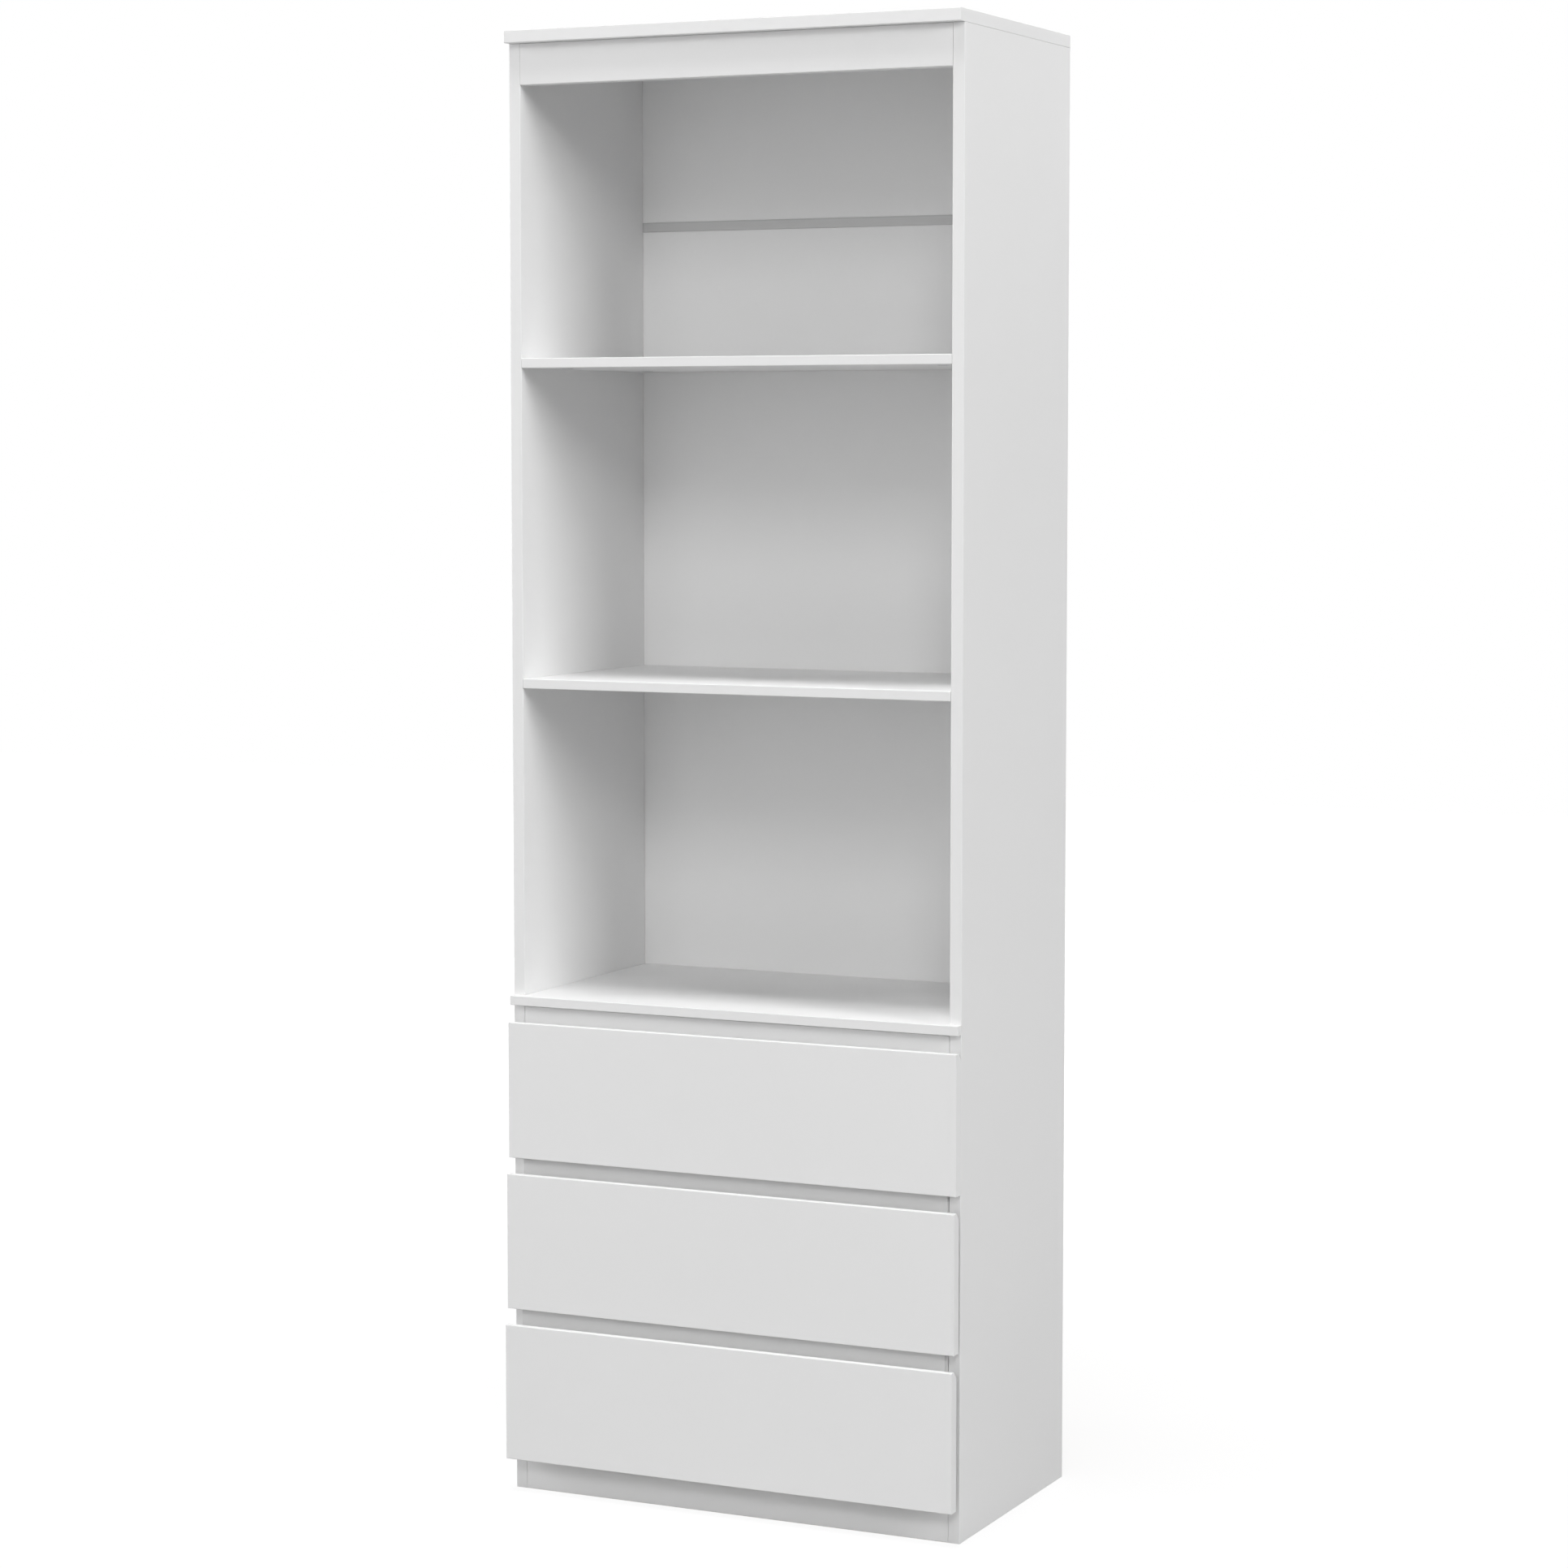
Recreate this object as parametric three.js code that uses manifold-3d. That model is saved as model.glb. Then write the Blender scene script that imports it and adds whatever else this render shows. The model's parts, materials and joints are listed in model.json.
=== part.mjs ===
// A tall bookcase: three open compartments stand over three drawers without handles.
// Lengths are millimetres and +Z is up. X runs to the right of someone who faces the bookcase,
// and Y runs from its front to the wall. The origin lies on the floor, in the middle of the box
// round the bookcase as it stands, with its two lower drawers a little way open.

import * as THREE from "three";
import { mergeVertices } from "three/addons/utils/BufferGeometryUtils.js";
import Module from "manifold-3d";

const wasm = await Module();
wasm.setup();

// Overall size
const overallWidth = 600;
const overallHeight = 1800;
const overallDepth = 350; // from the face of a closed drawer to the rear edge of the sides

// Sheet goods
const panelThickness = 15; // sides, top, rail, plinth and drawer fronts
const boardThickness = 12; // shelves, counter, bottom board and drawer boxes
const hardboardThickness = 3; // back panels and drawer bottoms
const edgeRadius = 0.9; // the banded front edges are eased by this much
const jointGap = 0.2; // left between two boards that meet

// Shelves and fixed boards
const compartmentHeight = 380; // clear height, the same in all three compartments
const shelfRearGap = 0.4; // between a shelf and the back panel
const topOverhang = 12.6; // how far the top stands out over the front of the sides
const counterOverhang = 10.6; // how far the counter's lip stands out
const railHeight = 50; // the rail under the front of the top
const plinthReveal = 42; // what shows of the plinth under the lowest drawer
const plinthCover = 2; // how far the plinth reaches up behind that drawer's front

// Back panels, in grooves of the sides and of the top
const backInset = 7.5; // from the rear edge of the sides to the back panels
const grooveDepth = 6;
const groovePlay = 0.3; // on each face of a sheet in its groove, and at its edge
const backJointDrop = 206; // from the underside of the top down to the joint of the two sheets
const jointStripHeight = 12;
const jointStripFlange = 0.9;
const jointStripWeb = 1.2;

// Drawers, the lowest first in each list
const drawerNames = ["lower", "middle", "upper"];
const restOpenings = [10.9, 5.3, 0]; // how far each stands open
const frontGap = 19.5; // finger gap between two fronts
const counterGap = 21; // finger gap between the counter and the uppermost front
const closedGap = 0.2; // between a closed front and the sides
const gripDepth = 7.5; // the bevel that fingers pull on, along the back of a front's top edge
const gripHeight = 8.5;
const drawerClearance = 3; // between the lowest drawer and the bottom board
const innerFrontTopClearance = 2;
const innerFrontSideClearance = 0.3;
const boxRise = 3; // from the lower edge of an inner front to that of the box sides
const boxSideShare = 0.7; // height of a box side, as a share of the lowest inner front's
const boxRearRoom = 12; // behind a closed drawer
const bottomRise = 10; // from the lower edge of a box side to the drawer bottom's groove
const boxGrooveDepth = 5;

// Ball slides, one on each side of each drawer
const slideWidth = 12.7;
const slideHeight = 45;
const slideSheet = 1.2;
const slideSeatGap = 0.15; // between a slide and the board that it is screwed to
const slideBend = 1.6;
const slideRiseShare = 0.45; // height of a slide's middle on the box side
const travelShare = 0.73; // travel, as a share of the slide's length
const ballRadius = 2.2;
const ballPlay = 0.15;
const ballAcrossShare = 0.55; // where the balls run, across the slide's width
const ballCount = 5; // along each edge of a cage
const cageSheet = 0.7;
const cageBend = 1.4;
const cageEndPlay = 1;
const cageRiseShare = 0.6; // of the ball's radius, from its middle to the cage's strip
const cageReachShare = 0.45;
const stopTabHeight = 14; // tongues bent in at both ends of a cabinet member
const stopTabReach = 4; // of the one in front, which stops the cage
const stopTabPlay = 0.3; // from the one behind, which stops the drawer member, to the box side
const slideTailGap = 0.6; // from that tongue to the tail of a closed drawer member
const screwHoleRadius = 2.2;
const screwHoleShares = [0.12, 0.5, 0.88]; // along a slide
const screwSlotLength = 9;
const screwSlotShares = [0.31, 0.69];
const cutOverrun = 1; // how far every cutting tool passes the faces that it cuts

// Facets
const easingSteps = 3;
const raceSteps = 4;
const bendSteps = 2;
const raceMouth = 10; // degrees from the balls' level at which the outer race ends
const holeSides = 12;
const ballSides = 8;
const ballRings = 5;

// Places worked out from the sizes above
const sideDepth = overallDepth - panelThickness - closedGap;
const sideHeight = overallHeight - panelThickness;
const innerWidth = overallWidth - 2 * panelThickness;
const boardWidth = innerWidth - 2 * jointGap;
const backFace = sideDepth - backInset - hardboardThickness;
const shelfDepth = backFace - shelfRearGap;
const storeyHeight = compartmentHeight + boardThickness;
const upperShelfBase = sideHeight - storeyHeight;
const lowerShelfBase = upperShelfBase - storeyHeight;
const counterBase = lowerShelfBase - storeyHeight;
const plinthHeight = plinthReveal + plinthCover;
const bottomBoardTop = plinthHeight + jointGap + boardThickness;
const drawerCount = drawerNames.length;
const frontsHeight = counterBase - counterGap - plinthReveal;
const frontHeight = (frontsHeight - (drawerCount - 1) * frontGap) / drawerCount;
const frontPitch = frontHeight + frontGap;
const innerFrontBase = bottomBoardTop + drawerClearance - plinthReveal;
const innerFrontFace = closedGap / 2;
const innerFrontWidth = innerWidth - 2 * innerFrontSideClearance;
const boxSideHeight = boxSideShare * (frontPitch - innerFrontTopClearance - innerFrontBase);
const boxFront = innerFrontFace + boardThickness + jointGap;
const boxLength = backFace - boxRearRoom - boxFront;
const boxBase = innerFrontBase + boxRise;
const slideSpace = slideWidth + 2 * slideSeatGap;
const boxHalfWidth = innerWidth / 2 - slideSpace;
const slideLength = boxLength;
const slideTravel = travelShare * slideLength;
const raceRadius = ballRadius + ballPlay + slideSheet / 2;
const ballAcross = ballAcrossShare * slideWidth;
const ballRise = slideHeight / 2 - slideSheet / 2 - raceRadius;
const cageLength = slideLength - slideTravel - 2 * (slideSheet + cageEndPlay);
const drawerMemberLength = slideLength - slideSheet - slideTailGap;
const backJoint = sideHeight - backJointDrop;
const grooveBottom = innerWidth / 2 + grooveDepth;
const rearPlane = sideDepth;
const frontPlane = -(closedGap + panelThickness + Math.max(...restOpenings));

// Finishes
const melamine = { color: 0xf3f3f1, roughness: 0.42, metalness: 0 };
const paintedHardboard = { color: 0xeeeeec, roughness: 0.55, metalness: 0 };
const stripPlastic = { color: 0xd2d2d0, roughness: 0.5, metalness: 0 };
const zincSteel = { color: 0xb9bcbf, roughness: 0.35, metalness: 1 };
const cageSteel = { color: 0x8f9396, roughness: 0.3, metalness: 1 };

const alongXAxes = new THREE.Matrix4().makeBasis(
  new THREE.Vector3(0, 1, 0),
  new THREE.Vector3(0, 0, 1),
  new THREE.Vector3(1, 0, 0),
);
const alongYAxes = new THREE.Matrix4().makeBasis(
  new THREE.Vector3(1, 0, 0),
  new THREE.Vector3(0, 0, 1),
  new THREE.Vector3(0, -1, 0),
);

function extruded(shape, length) {
  return new THREE.ExtrudeGeometry(shape, {
    depth: length,
    bevelEnabled: false,
    curveSegments: easingSteps,
  });
}

// A section drawn in Y and Z, run along X on both sides of the middle.
function alongX(section, length) {
  return extruded(section, length).applyMatrix4(alongXAxes).translate(-length / 2, 0, 0);
}

// A section drawn in X and Z, run back along Y from zero.
function alongY(section, length) {
  return extruded(section, length).applyMatrix4(alongYAxes).translate(0, length, 0);
}

function rectangle(left, right, low, high) {
  return new THREE.Shape([
    new THREE.Vector2(left, low),
    new THREE.Vector2(right, low),
    new THREE.Vector2(right, high),
    new THREE.Vector2(left, high),
  ]);
}

// A rectangle whose two corners at the front, which is its left, are rounded.
function easedRectangle(depth, thickness) {
  const shape = new THREE.Shape();
  shape.moveTo(depth, 0);
  shape.lineTo(depth, thickness);
  shape.lineTo(edgeRadius, thickness);
  shape.absarc(edgeRadius, thickness - edgeRadius, edgeRadius, Math.PI / 2, Math.PI, false);
  shape.lineTo(0, edgeRadius);
  shape.absarc(edgeRadius, edgeRadius, edgeRadius, Math.PI, 1.5 * Math.PI, false);
  return shape;
}

function boxGeometry(left, right, front, rear, low, high) {
  return new THREE.BoxGeometry(right - left, rear - front, high - low).translate(
    (left + right) / 2,
    (front + rear) / 2,
    (low + high) / 2,
  );
}

function solidOf(geometry) {
  const bare = geometry.clone();
  bare.deleteAttribute("normal");
  bare.deleteAttribute("uv");
  const merged = mergeVertices(bare);
  return new wasm.Manifold(
    new wasm.Mesh({
      numProp: 3,
      vertProperties: new Float32Array(merged.attributes.position.array),
      triVerts: new Uint32Array(merged.index.array),
    }),
  );
}

function geometryOf(solid) {
  const mesh = solid.getMesh();
  const geometry = new THREE.BufferGeometry();
  geometry.setAttribute("position", new THREE.BufferAttribute(mesh.vertProperties, 3));
  geometry.setIndex(new THREE.BufferAttribute(mesh.triVerts, 1));
  geometry.computeVertexNormals();
  return geometry;
}

function cutAway(geometry, tools) {
  const cut = tools.reduce((solid, tool) => solid.subtract(solidOf(tool)), solidOf(geometry));
  return geometryOf(cut);
}

function joined(geometry, others) {
  const whole = others.reduce((solid, other) => solid.add(solidOf(other)), solidOf(geometry));
  return geometryOf(whole);
}

function piece(name, geometry, finish, x = 0, y = 0, z = 0) {
  const mesh = new THREE.Mesh(geometry, new THREE.MeshStandardMaterial(finish));
  mesh.name = name;
  mesh.position.set(x, y, z);
  return mesh;
}

// Side panels: one plan, run up from the floor, with the groove that holds the back panels.
function sidePlan(hand) {
  const grooveFront = backFace - groovePlay;
  const grooveRear = backFace + hardboardThickness + groovePlay;
  const grooveEnd = hand * (grooveDepth + groovePlay);
  const outer = hand * panelThickness;
  const easing = hand * edgeRadius;
  const plan = new THREE.Shape();
  plan.moveTo(0, sideDepth);
  plan.lineTo(0, grooveRear);
  plan.lineTo(grooveEnd, grooveRear);
  plan.lineTo(grooveEnd, grooveFront);
  plan.lineTo(0, grooveFront);
  plan.lineTo(0, edgeRadius);
  plan.quadraticCurveTo(0, 0, easing, 0);
  plan.lineTo(outer - easing, 0);
  plan.quadraticCurveTo(outer, 0, outer, edgeRadius);
  plan.lineTo(outer, sideDepth);
  return plan;
}

function sidePanel(name, hand) {
  const geometry = extruded(sidePlan(hand), sideHeight - jointGap);
  return piece(name, geometry, melamine, (hand * innerWidth) / 2, 0, 0);
}

// The top lies on the sides, and its underside has a stopped groove for the upper back panel.
function topBoard() {
  const depth = sideDepth + topOverhang;
  const board = alongX(easedRectangle(depth, panelThickness), overallWidth);
  const groove = boxGeometry(
    -grooveBottom - groovePlay,
    grooveBottom + groovePlay,
    topOverhang + backFace - groovePlay,
    topOverhang + backFace + hardboardThickness + groovePlay,
    -cutOverrun,
    grooveDepth + groovePlay,
  );
  return piece("top_board", cutAway(board, [groove]), melamine, 0, -topOverhang, sideHeight);
}

// The counter's lip runs the whole width, and the board behind it fits between the sides.
function counterBoard() {
  const depth = shelfDepth + counterOverhang;
  const board = alongX(easedRectangle(depth, boardThickness), overallWidth);
  const notches = [-1, 1].map((hand) => {
    const inner = hand * (innerWidth / 2 - jointGap);
    const outer = hand * (overallWidth / 2 + cutOverrun);
    return boxGeometry(
      Math.min(inner, outer),
      Math.max(inner, outer),
      counterOverhang - jointGap,
      depth + cutOverrun,
      -cutOverrun,
      boardThickness + cutOverrun,
    );
  });
  return piece("counter_board", cutAway(board, notches), melamine, 0, -counterOverhang, counterBase);
}

function flatBoard(name, base) {
  return piece(name, alongX(easedRectangle(shelfDepth, boardThickness), boardWidth), melamine, 0, 0, base);
}

// An upright board between the sides, such as the rail and the plinth.
function uprightBoard(name, height, base) {
  const section = easedRectangle(panelThickness, height);
  return piece(name, alongX(section, boardWidth), melamine, 0, 0, base);
}

// A back panel: a sheet that reaches into the grooves of both sides.
function backPanel(name, low, high) {
  const section = rectangle(0, hardboardThickness, low, high);
  return piece(name, alongX(section, 2 * grooveBottom), paintedHardboard, 0, backFace, 0);
}

// The strip with an H section that joins the two back panels.
function backJointStrip() {
  const half = jointStripHeight / 2;
  const slot = hardboardThickness / 2 + groovePlay;
  const outer = slot + jointStripFlange;
  const web = jointStripWeb / 2;
  const corners = [
    [outer, half],
    [slot, half],
    [slot, web],
    [-slot, web],
    [-slot, half],
    [-outer, half],
  ];
  const lower = corners.map(([depth, rise]) => [depth, -rise]).reverse();
  const outline = [...corners, ...lower].map(([depth, rise]) => new THREE.Vector2(depth, rise));
  const geometry = alongX(new THREE.Shape(outline), boardWidth);
  const middle = backFace + hardboardThickness / 2;
  return piece("back_joint_strip", geometry, stripPlastic, 0, middle, backJoint);
}

function carcass() {
  const sheetEnd = jointStripWeb / 2 + groovePlay;
  return [
    sidePanel("side_panel_left", -1),
    sidePanel("side_panel_right", 1),
    topBoard(),
    uprightBoard("top_front_rail", railHeight - jointGap, sideHeight - railHeight),
    flatBoard("shelf_upper", upperShelfBase),
    flatBoard("shelf_lower", lowerShelfBase),
    counterBoard(),
    flatBoard("bottom_board", plinthHeight + jointGap),
    uprightBoard("plinth_board", plinthHeight, 0),
    backPanel("back_panel_upper", backJoint + sheetEnd, sideHeight + grooveDepth),
    backPanel("back_panel_lower", plinthHeight, backJoint - sheetEnd),
    backJointStrip(),
  ];
}

// Points on an arc, its angles in degrees from +X towards +Y.
function arcPoints(centreX, centreY, radius, from, to, steps) {
  return Array.from({ length: steps + 1 }, (_, step) => {
    const angle = THREE.MathUtils.degToRad(from + ((to - from) * step) / steps);
    return new THREE.Vector2(centreX + radius * Math.cos(angle), centreY + radius * Math.sin(angle));
  });
}

// The outline of a bent sheet whose middle follows the points and their mirror image below.
function bentSheet(upper, thickness, hand) {
  const lower = upper.map((point) => new THREE.Vector2(point.x, -point.y)).reverse();
  const middle = [...upper, ...lower].map((point) => new THREE.Vector2(-hand * point.x, point.y));
  const last = middle.length - 1;
  const normalAfter = (index) => {
    const start = Math.min(Math.max(index, 0), last - 1);
    const along = middle[start + 1].clone().sub(middle[start]).normalize();
    return new THREE.Vector2(-along.y, along.x);
  };
  const edge = (side) =>
    middle.map((point, index) => {
      const before = normalAfter(index - 1);
      const mitre = before.clone().add(normalAfter(index)).normalize();
      const reach = (side * thickness) / 2 / mitre.dot(before);
      return point.clone().addScaledVector(mitre, reach);
    });
  return new THREE.Shape([...edge(1), ...edge(-1).reverse()]);
}

// The part of a slide that stays on the cabinet: it holds the balls from outside.
function cabinetProfile(hand) {
  const web = slideSheet / 2;
  const flange = ballRise + raceRadius;
  return bentSheet(
    [
      ...arcPoints(ballAcross, ballRise, raceRadius, raceMouth, 90, raceSteps),
      ...arcPoints(web + slideBend, flange - slideBend, slideBend, 90, 180, bendSteps),
    ],
    slideSheet,
    hand,
  );
}

// The part of a slide that goes with the drawer: it holds the balls from inside.
function drawerProfile(hand) {
  const web = slideWidth - slideSheet / 2;
  const flange = ballRise - raceRadius;
  return bentSheet(
    [
      ...arcPoints(ballAcross, ballRise, raceRadius, 180, 270, raceSteps),
      ...arcPoints(web - slideBend, flange - slideBend, slideBend, 90, 0, bendSteps),
    ],
    slideSheet,
    hand,
  );
}

// The strip between them that keeps the balls apart.
function cageProfile(hand) {
  const web = (slideSheet + ballAcross - raceRadius - slideSheet / 2) / 2;
  const strip = ballRise + cageRiseShare * ballRadius;
  return bentSheet(
    [
      new THREE.Vector2(ballAcross + cageReachShare * ballRadius, strip),
      ...arcPoints(web + cageBend, strip - cageBend, cageBend, 90, 180, bendSteps),
    ],
    cageSheet,
    hand,
  );
}

// A slide's web has round screw holes and slots, in which the slide is shifted before it is fixed.
function screwHoles(webMiddle, hand, slotTurn) {
  const depth = slideSheet + 2 * cutOverrun;
  const straight = screwSlotLength / 2 - screwHoleRadius;
  const outline = new THREE.Shape();
  outline.absarc(straight, 0, screwHoleRadius, -Math.PI / 2, Math.PI / 2, false);
  outline.absarc(-straight, 0, screwHoleRadius, Math.PI / 2, 1.5 * Math.PI, false);
  const round = screwHoleShares.map((share) =>
    new THREE.CylinderGeometry(screwHoleRadius, screwHoleRadius, depth, holeSides)
      .rotateZ(Math.PI / 2)
      .translate(-hand * webMiddle, share * slideLength, 0),
  );
  const slots = screwSlotShares.map((share) =>
    alongX(outline, depth)
      .rotateX(slotTurn)
      .translate(-hand * webMiddle, share * slideLength, 0),
  );
  return [...round, ...slots];
}

// A tongue bent in from a cabinet member's web.
function stopTab(start, reach, hand) {
  const tip = -hand * reach;
  const half = stopTabHeight / 2;
  return boxGeometry(Math.min(0, tip), Math.max(0, tip), start, start + slideSheet, -half, half);
}

function cabinetMember(hand) {
  const channel = alongY(cabinetProfile(hand), slideLength);
  const front = stopTab(0, stopTabReach, hand);
  const rear = stopTab(slideLength - slideSheet, slideSpace - slideSeatGap - stopTabPlay, hand);
  return cutAway(joined(channel, [front, rear]), screwHoles(slideSheet / 2, hand, 0));
}

function drawerMember(hand) {
  const channel = alongY(drawerProfile(hand), drawerMemberLength);
  return cutAway(channel, screwHoles(slideWidth - slideSheet / 2, hand, Math.PI / 2));
}

// A cage and its balls, in two rows that run in the members' edges.
function cageWithBalls(hand) {
  const pitch = cageLength / ballCount;
  const places = Array.from({ length: ballCount }, (_, ball) => (ball + 0.5) * pitch);
  const balls = places.flatMap((place) =>
    [-1, 1].map((row) =>
      new THREE.SphereGeometry(ballRadius, ballSides, ballRings).translate(
        -hand * ballAcross,
        place,
        row * ballRise,
      ),
    ),
  );
  return joined(alongY(cageProfile(hand), cageLength), balls);
}

const hands = [
  ["left", -1],
  ["right", 1],
];
const slideX = innerWidth / 2 - slideSeatGap;
const slideZ = boxBase + slideRiseShare * boxSideHeight;
const cageStart = boxFront + (slideLength - cageLength) / 2;

// A drawer front: square below, with a bevel behind its top edge that fingers reach over.
function drawerFront(name) {
  const top = frontHeight;
  const section = new THREE.Shape();
  section.moveTo(panelThickness, 0);
  section.lineTo(panelThickness, top - gripHeight);
  section.lineTo(panelThickness - gripDepth, top);
  section.lineTo(edgeRadius, top);
  section.absarc(edgeRadius, top - edgeRadius, edgeRadius, Math.PI / 2, Math.PI, false);
  section.lineTo(0, edgeRadius);
  section.absarc(edgeRadius, edgeRadius, edgeRadius, Math.PI, 1.5 * Math.PI, false);
  const y = -closedGap - panelThickness;
  return piece(name, alongX(section, overallWidth), melamine, 0, y, 0);
}

// The board behind the front closes the opening and holds the box sides and the bottom.
function innerFront(name, height) {
  const slotLow = boxRise + bottomRise - groovePlay;
  const slotHigh = boxRise + bottomRise + hardboardThickness + groovePlay;
  const slotFront = boardThickness - boxGrooveDepth - groovePlay;
  const section = new THREE.Shape();
  section.moveTo(0, 0);
  section.lineTo(boardThickness, 0);
  section.lineTo(boardThickness, slotLow);
  section.lineTo(slotFront, slotLow);
  section.lineTo(slotFront, slotHigh);
  section.lineTo(boardThickness, slotHigh);
  section.lineTo(boardThickness, height);
  section.lineTo(0, height);
  return piece(name, alongX(section, innerFrontWidth), melamine, 0, innerFrontFace, innerFrontBase);
}

// A side of the drawer box, grooved on its inner face for the bottom.
function boxSide(name, hand) {
  const slotLow = bottomRise - groovePlay;
  const slotHigh = bottomRise + hardboardThickness + groovePlay;
  const inner = -hand * boardThickness;
  const slot = inner + hand * (boxGrooveDepth + groovePlay);
  const section = new THREE.Shape();
  section.moveTo(0, 0);
  section.lineTo(0, boxSideHeight);
  section.lineTo(inner, boxSideHeight);
  section.lineTo(inner, slotHigh);
  section.lineTo(slot, slotHigh);
  section.lineTo(slot, slotLow);
  section.lineTo(inner, slotLow);
  section.lineTo(inner, 0);
  return piece(name, alongY(section, boxLength), melamine, hand * boxHalfWidth, boxFront, boxBase);
}

// The back of the box stands on the bottom, between the sides.
function boxBack(name) {
  const low = bottomRise + hardboardThickness + jointGap;
  const width = 2 * (boxHalfWidth - boardThickness - jointGap);
  const section = rectangle(0, boardThickness, low, boxSideHeight);
  return piece(name, alongX(section, width), melamine, 0, boxFront + boxLength - boardThickness, boxBase);
}

function boxBottom(name) {
  const start = innerFrontFace + boardThickness - boxGrooveDepth;
  const width = 2 * (boxHalfWidth - boardThickness + boxGrooveDepth);
  const depth = boxFront + boxLength - start;
  const section = rectangle(0, depth, 0, hardboardThickness);
  return piece(name, alongX(section, width), paintedHardboard, 0, start, boxBase + bottomRise);
}

// Everything that slides out with one drawer, measured from the lower edge of its front.
function drawer(name, innerFrontHeight) {
  return [
    drawerFront(`${name}_drawer_front`),
    innerFront(`${name}_drawer_inner_front`, innerFrontHeight),
    ...hands.map(([side, hand]) => boxSide(`${name}_drawer_side_${side}`, hand)),
    boxBack(`${name}_drawer_back`),
    boxBottom(`${name}_drawer_bottom`),
    ...hands.map(([side, hand]) => {
      const label = `${name}_slide_drawer_member_${side}`;
      return piece(label, drawerMember(hand), zincSteel, hand * slideX, boxFront, slideZ);
    }),
  ];
}

const bookcase = new THREE.Group();
const cabinet = new THREE.Group().add(...carcass());
bookcase.add(cabinet);

drawerNames.forEach((name, index) => {
  const base = plinthReveal + index * frontPitch;
  const above = index + 1 < drawerCount ? base + frontPitch : counterBase;
  const innerFrontHeight = above - innerFrontTopClearance - base - innerFrontBase;
  const moving = new THREE.Group().add(...drawer(name, innerFrontHeight));
  moving.position.set(0, -restOpenings[index], base);
  bookcase.add(moving);

  hands.forEach(([side, hand]) => {
    const fixedLabel = `${name}_slide_cabinet_member_${side}`;
    cabinet.add(piece(fixedLabel, cabinetMember(hand), zincSteel, hand * slideX, boxFront, base + slideZ));

    // A cage rolls half as far as its drawer slides.
    const cageY = cageStart - restOpenings[index] / 2;
    const cageLabel = `${name}_slide_ball_cage_${side}`;
    bookcase.add(piece(cageLabel, cageWithBalls(hand), cageSteel, hand * slideX, cageY, base + slideZ));
  });
});

bookcase.position.set(0, -(frontPlane + rearPlane) / 2, 0);

export default bookcase;
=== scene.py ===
"""A tall bookcase with three drawers, dressed for rendering round its fixed frame.

The frame holds every board, slide and sheet at its real size. This script eases their edges, gives
each one its finish, adds the screws, cam fittings and pins that hold them together, polishes the
slides' balls, and sets up a pale studio with a camera. Lengths are metres, +Z is up and the wall is
on the +Y side.
"""

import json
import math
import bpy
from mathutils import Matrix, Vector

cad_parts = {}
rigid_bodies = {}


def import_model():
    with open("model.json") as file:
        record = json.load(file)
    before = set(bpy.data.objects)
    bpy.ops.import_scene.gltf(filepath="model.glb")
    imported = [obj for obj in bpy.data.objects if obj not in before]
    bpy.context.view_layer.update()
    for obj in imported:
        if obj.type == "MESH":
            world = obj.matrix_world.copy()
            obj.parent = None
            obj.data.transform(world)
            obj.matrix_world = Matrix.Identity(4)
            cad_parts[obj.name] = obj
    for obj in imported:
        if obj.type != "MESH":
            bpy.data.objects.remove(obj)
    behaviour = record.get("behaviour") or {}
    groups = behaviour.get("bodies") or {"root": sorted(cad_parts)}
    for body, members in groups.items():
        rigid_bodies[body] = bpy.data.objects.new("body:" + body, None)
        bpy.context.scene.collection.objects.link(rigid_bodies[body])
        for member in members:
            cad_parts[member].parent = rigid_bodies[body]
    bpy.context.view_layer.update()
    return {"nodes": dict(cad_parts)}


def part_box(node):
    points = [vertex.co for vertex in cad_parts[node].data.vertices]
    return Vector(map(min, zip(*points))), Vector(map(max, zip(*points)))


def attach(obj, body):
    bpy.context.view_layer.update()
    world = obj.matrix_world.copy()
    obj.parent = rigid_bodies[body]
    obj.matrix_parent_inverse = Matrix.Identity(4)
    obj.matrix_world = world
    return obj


bl_info = {
    "name": "Bookcase with Drawers",
    "version": (1, 0, 0),
    "blender": (4, 5, 0),
    "location": "View3D > Sidebar > Bookcase",
    "description": "Finishes, fastenings and studio for a tall bookcase with three drawers",
    "category": "Object",
}

import bmesh
import bpy
from mathutils import Matrix, Vector

# The startup file's own objects aren't part of the picture
for leftover in list(bpy.data.objects):
    bpy.data.objects.remove(leftover)

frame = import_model()

DRAWERS = ("lower", "middle", "upper")
HANDS = ("left", "right")

FLAT_BOARDS = ("shelf_upper", "shelf_lower", "counter_board", "bottom_board")
SIDE_PANELS = ("side_panel_left", "side_panel_right")
BACK_PANELS = ("back_panel_upper", "back_panel_lower")

RIGHTWARD = (1, 0, 0)
LEFTWARD = (-1, 0, 0)
FORWARD = (0, -1, 0)
REARWARD = (0, 1, 0)
UPWARD = (0, 0, 1)
DOWNWARD = (0, 0, -1)

# The least squareness, from -1 to 1, at which a face counts as looking in a direction
FACING_LIMIT = 0.75

# Corners this close are one point, facets this nearly level are one face, and edges sharper than
# this are eased
WELD_DISTANCE = 0.00001
FLAT_ANGLE = math.radians(1)
SHARP_ANGLE = math.radians(35)

# Faces of a fastening that meet at less than this are shaded as one curve
SMOOTH_ANGLE = math.radians(30)

# A screw head's dome as shares of its radius and rise, and its cross recess as shares of an arm
DOME_SHARES = ((1, 0), (1, 0.25), (0.93, 0.62), (0.76, 0.9))
ARM_WIDTH_SHARE = 0.3
RECESS_FLOOR_SHARE = 0.55


# Settings that a user would change


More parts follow.
